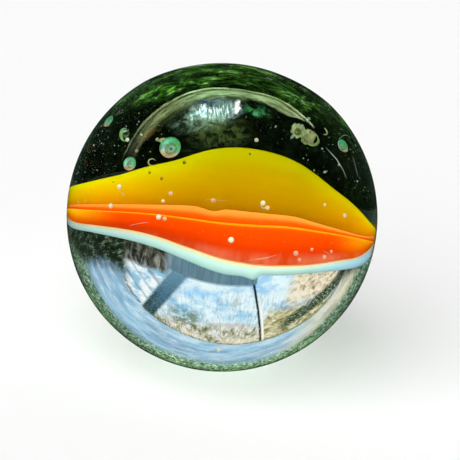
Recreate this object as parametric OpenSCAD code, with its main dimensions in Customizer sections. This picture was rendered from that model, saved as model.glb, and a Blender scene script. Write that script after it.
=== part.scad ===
// Cat's-eye glass marble: a clear ball with a folded, layered vane of opaque
// glass sealed inside it, and trapped air bubbles. Lengths are in millimetres.
//
// The vane is one ribbon that runs from end to end along X. Its cross-section
// is drawn in a (v, w) plane: w runs up the ribbon's face and v runs through
// its thickness, away from the face. The pale backing lies at the back, the
// orange glass lies on its front with a ridge and a rolled lip above it, and
// the yellow blade rises out from behind the lip.

/* [Ball] */
// Diameter of the ball
ball_d = 16; // [14:0.5:25]

/* [Vane ends] */
// Clear glass beyond the vane's left end
left_cover = 0.6; // [0.5:0.1:1.2]
// Clear glass beyond the vane's right end
right_cover = 1.2; // [0.5:0.1:1.6]
// Lean of the ribbon away from upright, in degrees
vane_lean = 20; // [0:5:60]

/* [Yellow blade] */
// Height of the yellow blade's edge above the ball's middle
yellow_h = 2.36; // [1.6:0.02:3]
// Thickness of the yellow blade where it leaves the seam
yellow_t = 0.3; // [0.2:0.05:0.5]
// Thickness of the yellow blade near its free edge
yellow_edge_t = 0.12; // [0.08:0.02:0.2]
// Lean of the yellow blade behind the rest of the ribbon, in degrees
yellow_lean = 14; // [0:2:30]

/* [Orange blade] */
// Depth of the orange blade's lower edge below the ball's middle
orange_h = 1.6; // [1.2:0.1:2]
// Thickness of the orange blade at its ridge
orange_t = 0.3; // [0.2:0.05:0.5]
// Depth of the orange face's forward bulge between its edges
orange_bulge_t = 0.1; // [0:0.05:0.3]
// Depth of the ridge line below the ball's middle
ridge_h = 0.2; // [0.1:0.05:0.4]
// Depth of the groove above the ridge
groove_t = 0.15; // [0.1:0.05:0.25]
// Height of the rolled lip above the ball's middle
lip_h = 0.28; // [0.2:0.02:0.4]
// Thickness of the rolled lip
lip_t = 0.26; // [0.16:0.02:0.36]

/* [White backing] */
// Thickness of the pale backing
white_t = 0.45; // [0.3:0.05:0.6]
// How far the backing shows below the orange blade
white_show = 0.48; // [0.3:0.02:0.7]

/* [Bubbles] */
// Size of every bubble, against the sizes in the list
bubble_scale = 1; // [0.6:0.1:1.3]

/* [Hidden] */

ball_r = ball_d / 2;
left_x = left_cover - ball_r;
right_x = ball_r - right_cover;
stations = 61;

// Height of each line of the ribbon along its length, as [place, share of the
// line's named height]. Place runs from -1 at the left end to 1 at the right.
YELLOW_EDGE = [[-1, 0.22], [-0.7, 0.3], [-0.5, 0.44], [-0.35, 0.6], [-0.2, 0.74],
               [-0.05, 0.92], [0.1, 1], [0.25, 0.98], [0.4, 0.86], [0.55, 0.62], [0.7, 0.4],
               [0.85, 0.18], [1, 0.05]];
LIP_LINE = [[-1, -1.05], [-0.7, -0.35], [-0.4, 0.37], [-0.25, 0.64], [-0.15, 0.82],
            [-0.08, 0.83], [0, 0.5], [0.06, 0.83], [0.15, 0.85], [0.28, 0.9], [0.4, 0.89],
            [0.5, 0.49], [0.62, -0.01], [0.8, -0.62], [1, -0.62]];
RIDGE_LINE = [[-1, 2.07], [-0.6, 1.39], [-0.3, 0.91], [-0.12, 1.02], [0.05, 1.2],
              [0.22, 0.97], [0.36, 0.68], [0.5, 0.8], [0.75, 1.44], [1, 2.16]];
ORANGE_EDGE = [[-1, 0.43], [-0.8, 0.54], [-0.6, 0.52], [-0.4, 0.53], [-0.25, 0.61],
               [-0.1, 0.76], [0.05, 0.91], [0.2, 0.98], [0.35, 0.97], [0.5, 0.89],
               [0.65, 0.76], [0.8, 0.66], [0.9, 0.51], [1, 0.32]];
WHITE_EDGE = [[-1, 0.67], [-0.7, 0.52], [-0.5, 0.63], [-0.3, 0.75], [-0.1, 0.91],
              [0.08, 1.02], [0.17, 0.93], [0.23, 1.05], [0.26, 0.68], [0.31, 0.61],
              [0.5, 0.58], [0.65, 0.7], [0.8, 0.79], [0.9, 1.01], [1, 1.17]];
// Share of its full thickness that the ribbon keeps along its length.
THICKNESS = [[-1, 0.4], [-0.6, 0.8], [-0.2, 1], [0.3, 1], [0.7, 0.75], [1, 0.35]];

// Bubbles, as [x, y, z, diameter]. The places are shares of the ball's radius.
BUBBLES = [
    // above the yellow blade
    [-0.31, -0.28, 0.455, 0.88], [-0.385, -0.25, 0.485, 0.24], [-0.50, -0.21, 0.31, 0.54],
    [-0.66, 0.06, 0.45, 0.54], [-0.44, 0.20, 0.25, 0.32], [-0.45, -0.10, 0.33, 0.20],
    [0.63, -0.08, 0.52, 0.60], [0.27, 0.27, 0.30, 0.34], [0.30, 0.31, 0.25, 0.36],
    [0.12, 0.03, 0.37, 0.22],
    // in front of the yellow blade
    [-0.58, -0.39, 0.25, 0.33], [-0.635, -0.47, 0.163, 0.33], [-0.30, -0.31, 0.16, 0.20],
    [-0.26, -0.25, 0.18, 0.24], [-0.05, -0.26, 0.17, 0.25], [0.20, -0.35, 0.22, 0.30],
    [0.222, -0.33, 0.19, 0.26], [0.54, -0.34, 0.25, 0.20], [0.65, -0.26, 0.17, 0.30],
    // in front of the orange blade
    [-0.34, -0.53, 0.15, 0.34], [-0.30, -0.49, 0.13, 0.26], [0.06, -0.51, 0.06, 0.35],
    [0.41, -0.48, 0.01, 0.32], [0.43, -0.46, -0.03, 0.20], [0.49, -0.42, 0.02, 0.20],
    [0.63, -0.47, 0.03, 0.22], [0.56, -0.38, -0.03, 0.28],
    // low in the clear glass
    [0.06, -0.54, -0.59, 0.36]
];

// Slope of a line at one of its points, from the points on each side of it.
function slope(line, i) =
    let (a = line[max(i - 1, 0)], b = line[min(i + 1, len(line) - 1)])
    (b[1] - a[1]) / (b[0] - a[0]);

// Smooth value of a line at place t, through its points.
function along(line, t, i = 0) =
    i < len(line) - 2 && t > line[i + 1][0] ? along(line, t, i + 1)
    : let (a = line[i], b = line[i + 1], gap = b[0] - a[0], s = (t - a[0]) / gap)
      a[1] * (1 + 2 * s) * pow(1 - s, 2) + slope(line, i) * gap * s * pow(1 - s, 2)
      + b[1] * s * s * (3 - 2 * s) + slope(line, i + 1) * gap * s * s * (s - 1);

function place(i) = -cos(180 * i / (stations - 1));
function place_x(t) = (left_x + right_x) / 2 + t * (right_x - left_x) / 2;

// Point of the ribbon at place t, from its cross-section.
function ribbon(t, vw) = [
    place_x(t),
    vw[0] * cos(vane_lean) + vw[1] * sin(vane_lean),
    vw[1] * cos(vane_lean) - vw[0] * sin(vane_lean)
];

// One cross-section as runs of [v, w] points. Each outer run starts at its own
// first corner and stops short of the next run's. The joint line is where the
// three glasses meet.
function section(t) =
    let (
        k = along(THICKNESS, t),
        ridge = -ridge_h * along(RIDGE_LINE, t),
        lip = max(lip_h * along(LIP_LINE, t), ridge + 0.3 * lip_t * k),
        low = -orange_h * along(ORANGE_EDGE, t),
        foot = low - white_show * along(WHITE_EDGE, t),
        top = max(yellow_h * along(YELLOW_EDGE, t), lip + yellow_edge_t),
        face = -(white_t + orange_t) * k,
        groove = face + groove_t * k,
        lip_back = groove + lip_t * k,
        lean_v = (top - lip) * tan(yellow_lean),
        joint = [lip_back, ridge - 0.3 * lip_t * k],
        heel = [lip_back + yellow_t * k, joint[1]],
        edge = [lip_back + lean_v + yellow_edge_t * k / 2, top],
        seat = -white_t * k,
        round_w = min(white_t * k, low - foot) / 2
    )
    [
        // white, from its foot up the bare front
        [[seat + 0.5 * white_t * k, foot],
         [seat + 0.15 * white_t * k, foot + 0.25 * round_w],
         [seat - 0.08 * white_t * k, foot + round_w]],
        // orange, from its lower edge up over the ridge, the groove and the lip
        concat(
            [for (s = [0, 0.06, 0.14, 0.26, 0.42, 0.6, 0.78, 0.92])
                [face + (seat - face) * pow(1 - s, 4) - orange_bulge_t * k * sin(180 * s),
                 low + (ridge - low) * s]],
            [[face + 0.1 * groove_t * k, ridge],
             [face + 0.55 * groove_t * k, ridge + 0.12 * (lip - ridge)],
             [groove, ridge + 0.15 * (lip - ridge)],
             [groove, lip - 0.45 * min(lip_t * k, lip - ridge)],
             [groove + 0.2 * lip_t * k, lip - 0.1 * min(lip_t * k, lip - ridge)],
             [groove + 0.5 * lip_t * k, lip],
             [groove + 0.8 * lip_t * k, lip - 0.1 * min(lip_t * k, lip - ridge)]]),
        // yellow front, from behind the lip
        [for (s = [0, 0.18, 0.38, 0.6, 0.8, 0.94])
            [lip_back + lean_v * s * (0.6 + 0.4 * s),
             lip - 0.3 * min(lip_t * k, lip - ridge) + (top - lip) * s]],
        // yellow back, from the free edge down
        [for (s = [1, 0.96, 0.8, 0.6, 0.38, 0.18])
            s == 1 ? edge
            : [lip_back + lean_v * s * (0.6 + 0.4 * s) + (yellow_t + (yellow_edge_t - yellow_t) * s) * k,
               heel[1] + (top - heel[1]) * s]],
        // white back, from the heel down to the foot
        [heel,
         [seat + white_t * k, joint[1] + 0.5 * (low - joint[1])],
         [seat + 1.0 * white_t * k, foot + round_w],
         [seat + 0.85 * white_t * k, foot + 0.25 * round_w]],
        // the joint line
        joint,
        // orange on white, from the joint line down
        [[seat, joint[1] - 0.15 * (joint[1] - low)], [seat, joint[1] + 0.5 * (low - joint[1])]]
    ];

function reversed(list) = [for (i = [len(list) - 1:-1:0]) list[i]];

function white_ring(s) = concat(s[0], [s[1][0]], reversed(s[6]), [s[5]], s[4]);
function orange_ring(s) = concat(s[1], [s[2][0], s[5]], s[6]);
function yellow_ring(s) = concat(s[2], s[3], [s[4][0], s[5]]);
function vane_ring(s) = concat(s[0], s[1], s[2], s[3], s[4]);

// Skins over a row of rings with equal numbers of points, and closes both ends.
// Each four-sided patch is split along its shorter diagonal, so that two
// glasses that share a patch split it alike.
module loft(rings) {
    n = len(rings[0]);
    points = [for (ring = rings) each ring];
    polyhedron(points, concat(
        [[for (j = [n - 1:-1:0]) j]],
        [[for (j = [0:n - 1]) (len(rings) - 1) * n + j]],
        [for (i = [0:len(rings) - 2], j = [0:n - 1], half = [0, 1])
            let (a = i * n + j, b = i * n + (j + 1) % n, c = b + n, d = a + n,
                 short = norm(points[a] - points[c]) <= norm(points[b] - points[d]))
            short ? (half == 0 ? [a, c, d] : [a, b, c]) : (half == 0 ? [a, b, d] : [b, c, d])]
    ));
}

SECTIONS = [for (i = [0:stations - 1]) section(place(i))];

function rings(kind) = [for (i = [0:stations - 1])
    let (s = SECTIONS[i],
         ring = kind == "white" ? white_ring(s) : kind == "orange" ? orange_ring(s)
              : kind == "yellow" ? yellow_ring(s) : vane_ring(s))
    [for (p = ring) ribbon(place(i), p)]];

module bubbles() {
    for (b = BUBBLES)
        translate([b[0], b[1], b[2]] * ball_r)
            sphere(d = b[3] * bubble_scale, $fn = 24);
}

module glass_ball() {
    color([0.78, 0.9, 0.82, 0.35])
        difference() {
            sphere(d = ball_d, $fn = 96);
            loft(rings("vane"));
            bubbles();
        }
}

module yellow_vane() {
    color([0.86, 0.7, 0.02])
        loft(rings("yellow"));
}

module orange_vane() {
    color([1, 0.33, 0.02])
        loft(rings("orange"));
}

module white_vane() {
    color([0.8, 0.97, 0.93])
        loft(rings("white"));
}

glass_ball();
yellow_vane();
orange_vane();
white_vane();
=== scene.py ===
import math
import random

import bmesh
import bpy
from mathutils import Matrix, Vector, noise

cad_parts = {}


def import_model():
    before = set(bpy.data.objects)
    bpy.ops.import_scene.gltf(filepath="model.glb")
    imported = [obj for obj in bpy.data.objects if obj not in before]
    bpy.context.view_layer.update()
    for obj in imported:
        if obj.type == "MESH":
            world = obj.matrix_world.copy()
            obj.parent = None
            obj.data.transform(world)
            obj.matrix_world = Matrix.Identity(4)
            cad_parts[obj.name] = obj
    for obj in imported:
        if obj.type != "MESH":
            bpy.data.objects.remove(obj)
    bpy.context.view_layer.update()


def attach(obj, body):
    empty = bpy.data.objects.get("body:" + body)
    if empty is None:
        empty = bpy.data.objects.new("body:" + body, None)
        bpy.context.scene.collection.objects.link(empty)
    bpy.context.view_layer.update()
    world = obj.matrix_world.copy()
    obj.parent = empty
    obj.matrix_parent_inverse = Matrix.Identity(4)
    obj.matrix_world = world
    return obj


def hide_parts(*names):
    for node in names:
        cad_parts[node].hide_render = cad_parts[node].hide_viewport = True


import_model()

MM = 0.001

# ---- the part's own sizes, in mm
BALL_R = 8.0
LEFT_GAP, RIGHT_GAP = 0.6, 1.2
LEFT_X, RIGHT_X = LEFT_GAP - BALL_R, BALL_R - RIGHT_GAP
LEAN = math.radians(20)
YELLOW_H, YELLOW_T, YELLOW_EDGE_T, YELLOW_LEAN = 2.36, 0.3, 0.12, math.radians(14)
ORANGE_H, ORANGE_T, ORANGE_BULGE_T = 1.6, 0.3, 0.1
RIDGE_H, GROOVE_T, LIP_H, LIP_T = 0.2, 0.15, 0.28, 0.26
WHITE_T, WHITE_SHOW = 0.45, 0.48

# how each size rises and falls along the ball: place, from -1 at the left to 1 at the right, and share
YELLOW_LINE = [(-1, 0.22), (-0.7, 0.3), (-0.5, 0.44), (-0.35, 0.6), (-0.2, 0.74),
    (-0.05, 0.92), (0.1, 1), (0.25, 0.98), (0.4, 0.86), (0.55, 0.62), (0.7, 0.4),
    (0.85, 0.18), (1, 0.05)]
LIP_LINE = [(-1, -1.05), (-0.7, -0.35), (-0.4, 0.37), (-0.25, 0.64), (-0.15, 0.82),
    (-0.08, 0.83), (0, 0.5), (0.06, 0.83), (0.15, 0.85), (0.28, 0.9), (0.4, 0.89),
    (0.5, 0.49), (0.62, -0.01), (0.8, -0.62), (1, -0.62)]
RIDGE_LINE = [(-1, 2.07), (-0.6, 1.39), (-0.3, 0.91), (-0.12, 1.02), (0.05, 1.2),
    (0.22, 0.97), (0.36, 0.68), (0.5, 0.8), (0.75, 1.44), (1, 2.16)]
ORANGE_LINE = [(-1, 0.43), (-0.8, 0.54), (-0.6, 0.52), (-0.4, 0.53), (-0.25, 0.61),
    (-0.1, 0.76), (0.05, 0.91), (0.2, 0.98), (0.35, 0.97), (0.5, 0.89),
    (0.65, 0.76), (0.8, 0.66), (0.9, 0.51), (1, 0.32)]
WHITE_LINE = [(-1, 0.67), (-0.7, 0.52), (-0.5, 0.63), (-0.3, 0.75), (-0.1, 0.91),
    (0.08, 1.02), (0.17, 0.93), (0.23, 1.05), (0.26, 0.68), (0.31, 0.61),
    (0.5, 0.58), (0.65, 0.7), (0.8, 0.79), (0.9, 1.01), (1, 1.17)]
THICK_LINE = [(-1, 0.4), (-0.6, 0.8), (-0.2, 1), (0.3, 1), (0.7, 0.75), (1, 0.35)]

# x, y, z as shares of the ball's radius, then the diameter in mm
BUBBLES = [
    (-0.31, -0.28, 0.455, 0.88), (-0.385, -0.25, 0.485, 0.24), (-0.5, -0.21, 0.31, 0.54),
    (-0.66, 0.06, 0.45, 0.54), (-0.44, 0.2, 0.25, 0.32), (-0.45, -0.1, 0.33, 0.2),
    (0.63, -0.08, 0.52, 0.6), (0.27, 0.27, 0.3, 0.34), (0.3, 0.31, 0.25, 0.36),
    (0.12, 0.03, 0.37, 0.22),
    (-0.58, -0.39, 0.25, 0.33), (-0.635, -0.47, 0.163, 0.33), (-0.3, -0.31, 0.16, 0.2),
    (-0.26, -0.25, 0.18, 0.24), (-0.05, -0.26, 0.17, 0.25), (0.2, -0.35, 0.22, 0.3),
    (0.222, -0.33, 0.19, 0.26), (0.54, -0.34, 0.25, 0.2), (0.65, -0.26, 0.17, 0.3),
    (-0.34, -0.53, 0.15, 0.34), (-0.3, -0.49, 0.13, 0.26), (0.06, -0.51, 0.06, 0.35),
    (0.41, -0.48, 0.01, 0.32), (0.43, -0.46, -0.03, 0.2), (0.49, -0.42, 0.02, 0.2),
    (0.63, -0.47, 0.03, 0.22), (0.56, -0.38, -0.03, 0.28),
    (0.06, -0.54, -0.59, 0.36),
]
# their skins, by place in BUBBLES: rings of painted reflection, an eye with a dark middle of painted shade,
# blotches, or the tone that TONES names; those in BRIGHT are painted highlights, cream, and painted pinkish
# reflections
RINGED = (0, 2, 3, 6)
EYED, BLOTCHED = 7, 8
BRIGHT = {10: 0.19, 11: 0.2, 12: 0.13, 13: 0.02, 15: 0.16, 16: 0.08, 17: 0.12, 18: 0.1, 19: 0.19,
    20: 0.02, 21: 0.2, 22: 0, 23: 0, 24: 0.02, 25: 0.03, 26: 0, 27: 0.26}
FAINT = {1: 0.73, 5: 0.85, 9: 0.2, 14: 0.05}
# the bubbles in BRIGHT and FAINT are made at this share of their diameter, as the photograph shows them
SMALL = 0.66
# a skin's radius as a share of its bubble's diameter: it lies just outside the bubble's wall
SKIN = 0.525


# ---- small helpers
def new_object(name, data):
    obj = bpy.data.objects.new(name, data)
    bpy.context.scene.collection.objects.link(obj)
    return obj


def mesh_object(name, points, faces, material, attributes=None, smooth=True):
    mesh = bpy.data.meshes.new(name)
    mesh.from_pydata([tuple(c * MM for c in p) for p in points], [], faces)
    mesh.update()
    if smooth:
        mesh.polygons.foreach_set("use_smooth", [True] * len(mesh.polygons))
    for key, values in (attributes or {}).items():
        layer = mesh.attributes.new(key, "FLOAT", "POINT")
        layer.data.foreach_set("value", values)
    mesh.materials.append(material)
    return new_object(name, mesh)


def in_ball(thousandths):
    """A point, in mm, from thousandths of the ball's radius."""
    return Vector([share / 1000 for share in thousandths]) * BALL_R


def direction(az, el):
    """Unit vector from degrees: az turns from +Y towards +X, el rises."""
    az, el = math.radians(az), math.radians(el)
    return Vector((math.sin(az) * math.cos(el), math.cos(az) * math.cos(el), math.sin(el)))


def grey(level):
    return (level, level, level)


class Nodes:
    """Short names for the nodes of one material or world."""

    def __init__(self, tree):
        self.tree = tree
        tree.nodes.clear()

    def add(self, kind, inputs=None, **settings):
        node = self.tree.nodes.new(kind)
        for key, value in settings.items():
            setattr(node, key, value)
        for key, value in (inputs or {}).items():
            self.put(node.inputs[key], value)
        return node

    def put(self, socket, value):
        if isinstance(value, bpy.types.NodeSocket):
            self.tree.links.new(value, socket)
        elif isinstance(value, (tuple, list)) and socket.type == "RGBA":
            socket.default_value = (*value[:3], 1)
        else:
            socket.default_value = value

    def output(self, kind, shader, **others):
        sockets = {"Surface": shader.outputs[0]}
        sockets.update({name: node.outputs[0] for name, node in others.items()})
        self.add("ShaderNodeOutput" + kind, sockets)

    def math(self, operation, a, b=0, c=0):
        return self.add("ShaderNodeMath", {0: a, 1: b, 2: c}, operation=operation).outputs[0]

    def plus(self, a, b):
        return self.math("ADD", a, b)

    def product(self, total, *factors):
        for factor in factors:
            total = self.math("MULTIPLY", total, factor)
        return total

    def linear(self, value, slope, offset):
        return self.math("MULTIPLY_ADD", value, slope, offset)

    def degrees(self, operation, *values):
        """An inverse function's angle in degrees."""
        return self.math("DEGREES", self.math(operation, *values))

    def past(self, value, limit):
        return self.math("GREATER_THAN", value, limit)

    def vector(self, x, y):
        return self.add("ShaderNodeCombineXYZ", {0: x, 1: y, 2: 0}).outputs[0]

    def vector_math(self, operation, a, b, output=0):
        return self.add("ShaderNodeVectorMath", {0: a, 1: b}, operation=operation).outputs[output]

    def scaled(self, vector, x, y, z):
        return self.vector_math("MULTIPLY", vector, (x, y, z))

    def ramp(self, value, *stops, interpolation="LINEAR"):
        """Each stop is a place and its red, green and blue, or a place and a grey."""
        node = self.add("ShaderNodeValToRGB", {"Fac": value})
        node.color_ramp.interpolation = interpolation
        elements = node.color_ramp.elements
        while len(elements) < len(stops):
            elements.new(0.5)
        for element, (at, *_) in zip(elements, stops):
            element.position = at
        for element, (_, *colour) in zip(elements, stops):
            element.color = (*(colour if len(colour) == 3 else colour * 3), 1)
        return node.outputs["Color"]

    def step(self, value, lo, hi, to_lo=0, to_hi=1):
        """Runs smoothly from to_lo at lo to to_hi at hi, and stays there."""
        sockets = {"Value": value, "From Min": lo, "From Max": hi, "To Min": to_lo, "To Max": to_hi}
        return self.add("ShaderNodeMapRange", sockets, interpolation_type="SMOOTHSTEP").outputs[0]

    def band(self, value, lo, hi, soft):
        """1 between lo and hi, 0 beyond them."""
        return self.product(self.step(value, lo - soft, lo + soft),
            self.step(value, hi - soft, hi + soft, 1, 0))

    def mix(self, factor, a, b, blend="MIX"):
        node = self.add("ShaderNodeMix", data_type="RGBA", blend_type=blend)
        for socket, value in ((0, factor), (6, a), (7, b)):
            self.put(node.inputs[socket], value)
        return node.outputs[2]

    def filtered(self, a, b):
        return self.mix(1, a, b, "MULTIPLY")

    def noise(self, vector, scale, detail=2, rough=0.5, distort=0, output="Fac"):
        sockets = {"Vector": vector, "Scale": scale, "Detail": detail, "Roughness": rough,
            "Distortion": distort}
        return self.add("ShaderNodeTexNoise", sockets).outputs[output]

    def attribute(self, key):
        return self.add("ShaderNodeAttribute", attribute_name=key).outputs["Fac"]

    def place(self):
        """Where a point lies in its object, in metres."""
        return self.add("ShaderNodeTexCoord").outputs["Object"]


def new_material(name):
    material = bpy.data.materials.new(name)
    material.use_nodes = True
    return material, Nodes(material.node_tree)


# ---- camera
PICTURE = 460
# the ball in the photograph, in its pixels
BALL_PX, CENTRE_PX = 155.7, (222, 216.2)
VIEW_DIP, VIEW_ROLL = math.radians(20), math.radians(6)
FAR = 25


def make_camera():
    """The photograph's view, from FAR ball radii away."""
    look = Vector((0, math.cos(VIEW_DIP), -math.sin(VIEW_DIP)))
    data = bpy.data.cameras.new("camera")
    camera = new_object("camera", data)
    camera.matrix_world = (Matrix.Translation(-look * FAR * BALL_R * MM)
        @ look.to_track_quat("-Z", "Y").to_matrix().to_4x4()
        @ Matrix.Rotation(VIEW_ROLL, 4, "Z"))
    data.angle = 2 * math.atan(PICTURE / 2 / BALL_PX / math.sqrt(FAR * FAR - 1))
    data.shift_x = (PICTURE / 2 - CENTRE_PX[0]) / PICTURE
    data.shift_y = (CENTRE_PX[1] - PICTURE / 2) / PICTURE
    data.clip_start = 0.001
    bpy.context.scene.camera = camera


make_camera()


# ---- the vane's cross-section
# places along the ribbon, and in mm how deep its slow waves and fine ripples are
STATIONS = 241
SLOW_WAVES, FINE_RIPPLES = 0.01, 0.012
# the foot of the lip, and of the ridge's back, as a share of the lip's thickness
LIP_FOOT = 0.3


def along(line, t):
    """A size's share at t: a smooth curve through the line's points."""
    i = 0
    while i < len(line) - 2 and t > line[i + 1][0]:
        i += 1

    def slope(k):
        a, b = line[max(k - 1, 0)], line[min(k + 1, len(line) - 1)]
        return (b[1] - a[1]) / (b[0] - a[0])

    (ax, ay), (bx, by) = line[i], line[i + 1]
    gap = bx - ax
    s = (t - ax) / gap
    return (ay * (1 + 2 * s) * (1 - s) ** 2 + slope(i) * gap * s * (1 - s) ** 2
            + by * s * s * (3 - 2 * s) + slope(i + 1) * gap * s * s * (s - 1))


def runs_at(t):
    """Outer runs of the ribbon's section as (v, w) points, the joint and the orange/white seat."""
    k = along(THICK_LINE, t)
    ridge = -RIDGE_H * along(RIDGE_LINE, t)
    lip = max(LIP_H * along(LIP_LINE, t), ridge + LIP_FOOT * LIP_T * k)
    low = -ORANGE_H * along(ORANGE_LINE, t)
    foot = low - WHITE_SHOW * along(WHITE_LINE, t)
    top = max(YELLOW_H * along(YELLOW_LINE, t), lip + YELLOW_EDGE_T)
    face = -(WHITE_T + ORANGE_T) * k
    groove = face + GROOVE_T * k
    lip_back = groove + LIP_T * k
    lean_v = (top - lip) * math.tan(YELLOW_LEAN)
    joint = (lip_back, ridge - LIP_FOOT * LIP_T * k)
    heel = (lip_back + YELLOW_T * k, joint[1])
    edge = (lip_back + lean_v + YELLOW_EDGE_T * k / 2, top)
    seat = -WHITE_T * k
    round_w = min(WHITE_T * k, low - foot) / 2
    curl = min(LIP_T * k, lip - ridge)
    step = GROOVE_T * k

    def lean(s):
        return lip_back + lean_v * s * (0.6 + 0.4 * s)

    white_front = [(seat + 0.5 * WHITE_T * k, foot),
        (seat + 0.15 * WHITE_T * k, foot + 0.25 * round_w),
        (seat - 0.08 * WHITE_T * k, foot + round_w)]
    orange_face = [(face + (seat - face) * (1 - s) ** 4 - ORANGE_BULGE_T * k * math.sin(math.pi * s),
        low + (ridge - low) * s) for s in [i / 16 for i in range(16)]]
    orange_lip = [(face + 0.1 * step, ridge),
        (face + 0.55 * step, ridge + 0.12 * (lip - ridge)),
        (groove, ridge + 0.15 * (lip - ridge)),
        (groove, lip - 0.45 * curl),
        (groove + 0.2 * LIP_T * k, lip - 0.1 * curl),
        (groove + 0.5 * LIP_T * k, lip),
        (groove + 0.8 * LIP_T * k, lip - 0.1 * curl)]
    yellow_front = [(lean(s), lip - 0.3 * curl + (top - lip) * s) for s in (0, 0.3, 0.65, 0.93)]
    yellow_back = [edge] + [(lean(s) + (YELLOW_T + (YELLOW_EDGE_T - YELLOW_T) * s) * k,
        heel[1] + (top - heel[1]) * s) for s in (0.95, 0.65, 0.3)]
    white_back = [heel,
        (seat + WHITE_T * k, joint[1] + 0.5 * (low - joint[1])),
        (seat + WHITE_T * k, foot + round_w),
        (seat + 0.85 * WHITE_T * k, foot + 0.25 * round_w)]
    seat_line = [(seat, joint[1] - 0.15 * (joint[1] - low)), (seat, joint[1] + 0.5 * (low - joint[1]))]
    return white_front, orange_face, orange_lip, yellow_front, yellow_back, white_back, joint, seat_line


def outline(kind, t):
    """One colour's closed outline as runs: points, how many steps, and where it lies across the face."""
    white_front, face, lip, yellow_front, yellow_back, white_back, joint, seat = runs_at(t)
    if kind == "white":
        return [(white_front + [face[0]], 12, 0, 0.25), ([face[0]] + seat[::-1] + [joint], 14, 0.25, 0.35),
                ([joint, white_back[0]], 6, 0.35, 0.4), (white_back + [white_front[0]], 34, 0.4, 1)]
    if kind == "orange":
        return [(face + [lip[0]], 40, 0, 0.5), (lip + [yellow_front[0]], 30, 0.5, 0.9),
                ([yellow_front[0], joint], 6, 0.9, 0.93), ([joint] + seat + [face[0]], 14, 0.93, 1)]
    return [(yellow_front + [yellow_back[0]], 40, 0, 0.5), (yellow_back + [white_back[0]], 36, 0.5, 0.95),
            ([white_back[0], joint], 4, 0.95, 0.97), ([joint, yellow_front[0]], 6, 0.97, 1)]


def smooth_line(points, count):
    """Catmull-Rom line through the points, at count even steps along it, ends included."""
    pts = [Vector(p) for p in points]
    if len(pts) == 2:
        return [pts[0].lerp(pts[1], i / (count - 1)) for i in range(count)]
    dense = []
    for i in range(len(pts) - 1):
        p1, p2 = pts[i], pts[i + 1]
        p0 = pts[i - 1] if i else p1 * 2 - p2
        p3 = pts[i + 2] if i + 2 < len(pts) else p2 * 2 - p1
        k0, k1, k2 = (max((b - a).length, 1e-6) ** 0.5 for a, b in ((p0, p1), (p1, p2), (p2, p3)))
        m1 = (p2 - p1) + k1 * ((p1 - p0) / k0 - (p2 - p0) / (k0 + k1))
        m2 = (p2 - p1) + k1 * ((p3 - p2) / k2 - (p3 - p1) / (k1 + k2))
        for j in range(12):
            s = j / 12
            dense.append(p1 * (2 * s ** 3 - 3 * s * s + 1) + m1 * (s ** 3 - 2 * s * s + s)
                + p2 * (3 * s * s - 2 * s ** 3) + m2 * (s ** 3 - s * s))
    dense.append(pts[-1])
    lengths = [0]
    for a, b in zip(dense, dense[1:]):
        lengths.append(lengths[-1] + (b - a).length)
    out, j = [], 0
    for i in range(count):
        want = lengths[-1] * i / (count - 1)
        while j < len(dense) - 2 and lengths[j + 1] < want:
            j += 1
        gap = lengths[j + 1] - lengths[j]
        out.append(dense[j].lerp(dense[j + 1], (want - lengths[j]) / gap if gap > 1e-12 else 0))
    return out


def ribbon(t, point):
    """A section's point in the ball: drawn glass is never quite even, so it waves and ripples."""
    v, w = point
    x = (LEFT_X + RIGHT_X) / 2 + t * (RIGHT_X - LEFT_X) / 2
    base = Vector((x, v * math.cos(LEAN) + w * math.sin(LEAN), w * math.cos(LEAN) - v * math.sin(LEAN)))
    slow = noise.noise_vector(base * 0.55 + Vector((3.1, 7.7, 1.3))) * SLOW_WAVES
    fine = noise.noise_vector(Vector((base.x * 0.5, base.y * 3.2, base.z * 3.2))) * FINE_RIPPLES
    return base + slow + fine


def loft(name, kind, material):
    """Skins one colour's rings. Each vertex keeps where it lies along (0 to 1) and across its face."""
    rings, across = [], []
    for i in range(STATIONS):
        t = -math.cos(math.pi * i / (STATIONS - 1))
        ring, q = [], []
        for points, count, lo, hi in outline(kind, t):
            ring += [ribbon(t, p) for p in smooth_line(points, count)[:-1]]
            q += [lo + (hi - lo) * j / (count - 1) for j in range(count - 1)]
        rings.append(ring)
        across.append(q)
    n = len(rings[0])
    points = [p for ring in rings for p in ring]
    faces = [list(range(n - 1, -1, -1)), [(STATIONS - 1) * n + j for j in range(n)]]
    for i in range(STATIONS - 1):
        for j in range(n):
            a, b = i * n + j, i * n + (j + 1) % n
            faces.append([a, b, b + n, a + n])
    shares = [i / (STATIONS - 1) for i in range(STATIONS) for _ in range(n)]
    length = [(1 - math.cos(math.pi * s)) / 2 for s in shares]
    obj = mesh_object(name, points, faces, material,
        {"across": [v for q in across for v in q], "along": length})
    bm = bmesh.new()
    bm.from_mesh(obj.data)
    bmesh.ops.recalc_face_normals(bm, faces=bm.faces)
    bmesh.ops.triangulate(bm, faces=[f for f in bm.faces if len(f.verts) > 4])
    bm.to_mesh(obj.data)
    bm.free()
    return obj


# ---- materials
def vane_surface(n, colour):
    sockets = {"Base Color": colour, "Roughness": 0.5, "Specular IOR Level": 0}
    n.output("Material", n.add("ShaderNodeBsdfPrincipled", sockets))


def vane_material(name):
    """A new material, its nodes, places across and along the ribbon, and streaks that run along it."""
    material, n = new_material(name)
    streaks = n.noise(n.scaled(n.place(), 90, 900, 900), 1, 4, 0.6, 0.3)
    return material, n, n.attribute("across"), n.attribute("along"), streaks


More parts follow.
